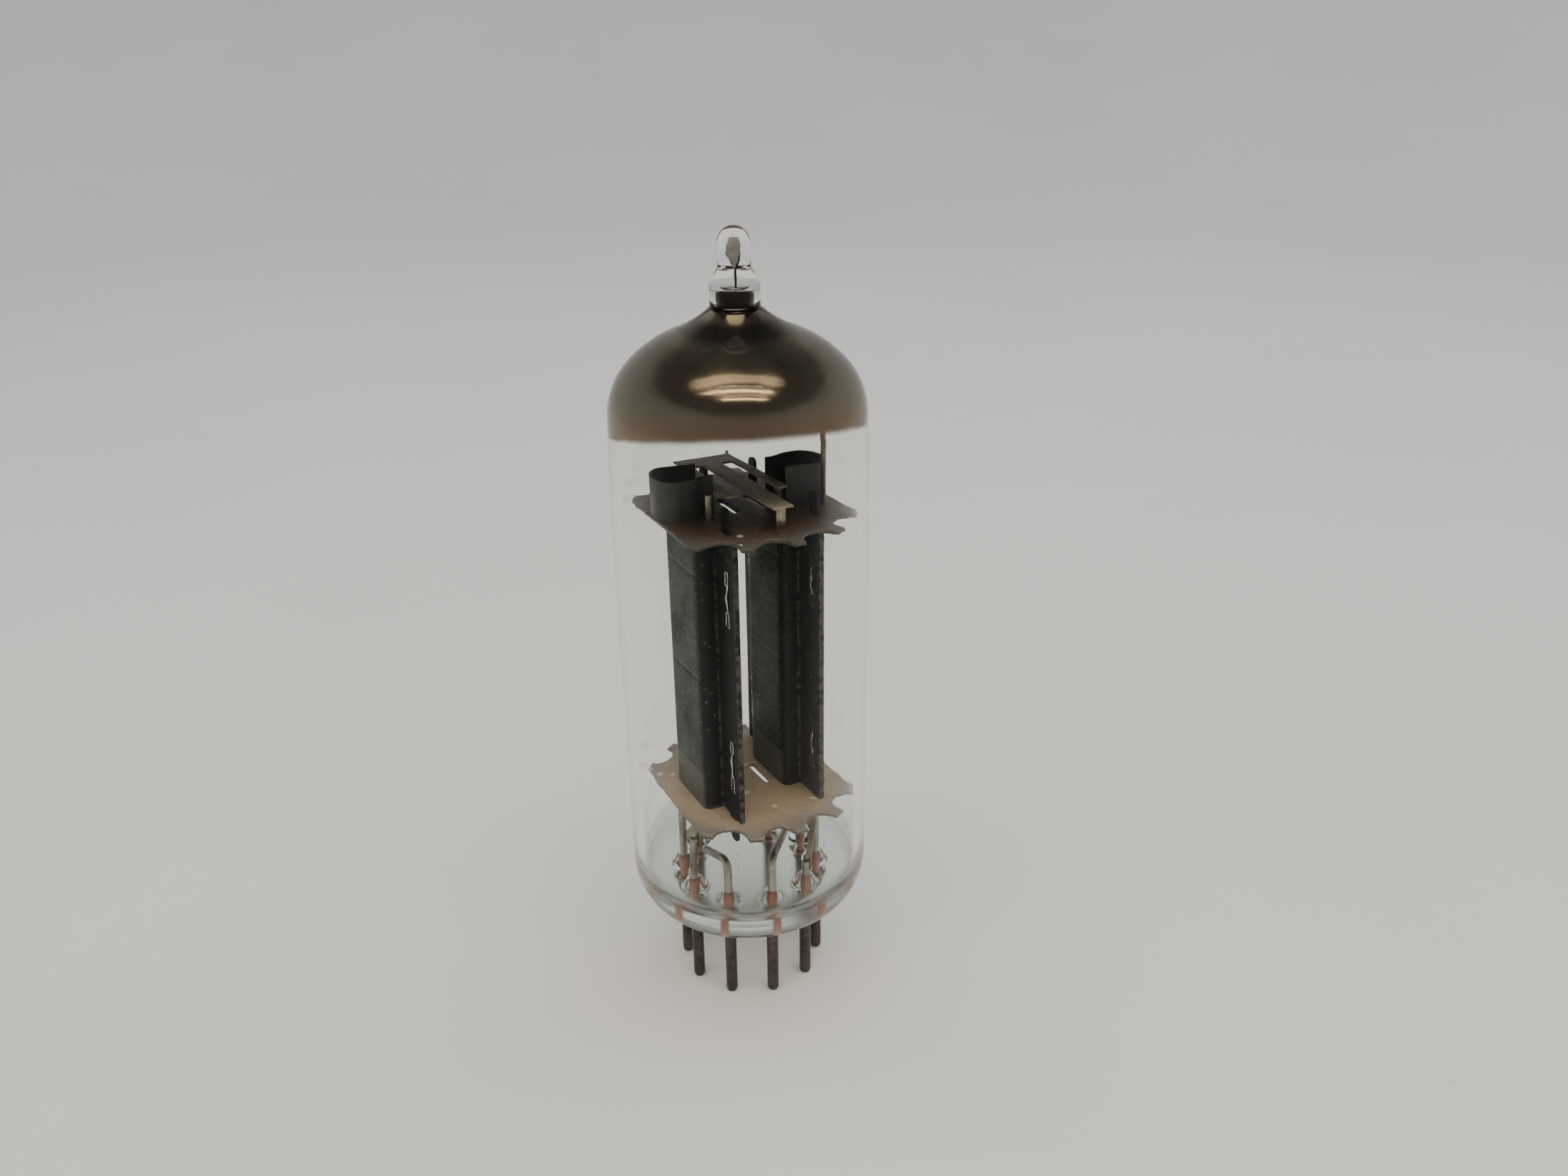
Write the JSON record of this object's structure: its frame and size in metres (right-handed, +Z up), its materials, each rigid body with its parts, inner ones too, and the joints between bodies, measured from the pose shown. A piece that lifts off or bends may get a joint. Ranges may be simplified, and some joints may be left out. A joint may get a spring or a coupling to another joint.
{
  "type": "vacuum tube",
  "caption": "Sealed glass vacuum tube: straight bulb with a domed, mirrored top and exhaust tip, two side-by-side triode units between micas, and a ring of base pins.",
  "frame": {"origin": "centre of the pin circle, on the plane of the pins' ends", "axes": "+Z up the tube axis from the pins to the exhaust tip; +X to the right and -Y towards the front, the front being the side seen in the picture"},
  "size_m": [0.0206, 0.0206, 0.0658],
  "materials": {
    "bulb_glass": "clear soft glass, smooth, with a few faint draw lines and dust",
    "button_glass": "thick clear glass, greenish grey where it is thickest",
    "pin_metal": "dark brown oxidised nickel alloy, satin, dusty",
    "seal_metal": "borated copper-clad wire, orange red",
    "getter_mirror": "evaporated metal film, brownish silver mirror",
    "dark_deposit": "black evaporated deposit, satin",
    "mica": "sprayed mica sheet, pinkish tan, slightly translucent, satin",
    "carbonised_sheet": "carbonised nickel-plated steel, dark grey, matt with fine scratches",
    "bright_nickel": "plain nickel, satin",
    "dark_sheet": "carbonised nickel sheet, dark grey, satin",
    "heater_coating": "white fired alumina coating, matt",
    "winding_wire": "fine drawn wire, bright",
    "cathode_nickel": "drawn nickel sleeve, satin",
    "rod_metal": "nickel-plated copper, satin",
    "lead_metal": "drawn nickel wire, satin, a little tarnished",
    "strap_nickel": "annealed nickel ribbon, tan tarnish, satin",
    "getter_metal": "nickel-plated iron, satin, stained by heat"
  },
  "bodies": {
    "root": {"getter_film": "getter_mirror", "getter_ring": "getter_metal", "getter_strip": "getter_metal", "glass_bulb": "bulb_glass", "glass_button": "button_glass", "heater_bridge": "lead_metal", "lead_1": "lead_metal", "lead_2": "lead_metal", "lead_3": "lead_metal", "lead_4": "lead_metal", "lead_5": "lead_metal", "lead_6": "lead_metal", "lead_7": "lead_metal", "lead_8": "lead_metal", "lead_9": "lead_metal", "left_anode_inner": "carbonised_sheet", "left_anode_outer": "carbonised_sheet", "left_anode_staples": "bright_nickel", "left_anode_strap": "strap_nickel", "left_cathode": "cathode_nickel", "left_cathode_strap": "strap_nickel", "left_grid_radiator": "dark_sheet", "left_grid_rods": "rod_metal", "left_grid_strap": "strap_nickel", "left_grid_winding": "winding_wire", "left_heater": "heater_coating", "lower_mica": "mica", "pin_1": "pin_metal", "pin_2": "pin_metal", "pin_3": "pin_metal", "pin_4": "pin_metal", "pin_5": "pin_metal", "pin_6": "pin_metal", "pin_7": "pin_metal", "pin_8": "pin_metal", "pin_9": "pin_metal", "right_anode_inner": "carbonised_sheet", "right_anode_outer": "carbonised_sheet", "right_anode_staples": "bright_nickel", "right_anode_strap": "strap_nickel", "right_cathode": "cathode_nickel", "right_cathode_strap": "strap_nickel", "right_grid_radiator": "dark_sheet", "right_grid_rods": "rod_metal", "right_grid_strap": "strap_nickel", "right_grid_winding": "winding_wire", "right_heater": "heater_coating", "seal_wires": "seal_metal", "shield_posts": "strap_nickel", "slotted_mica": "mica", "tip_deposit": "dark_deposit", "upper_mica": "mica"}
  },
  "joints": []
}
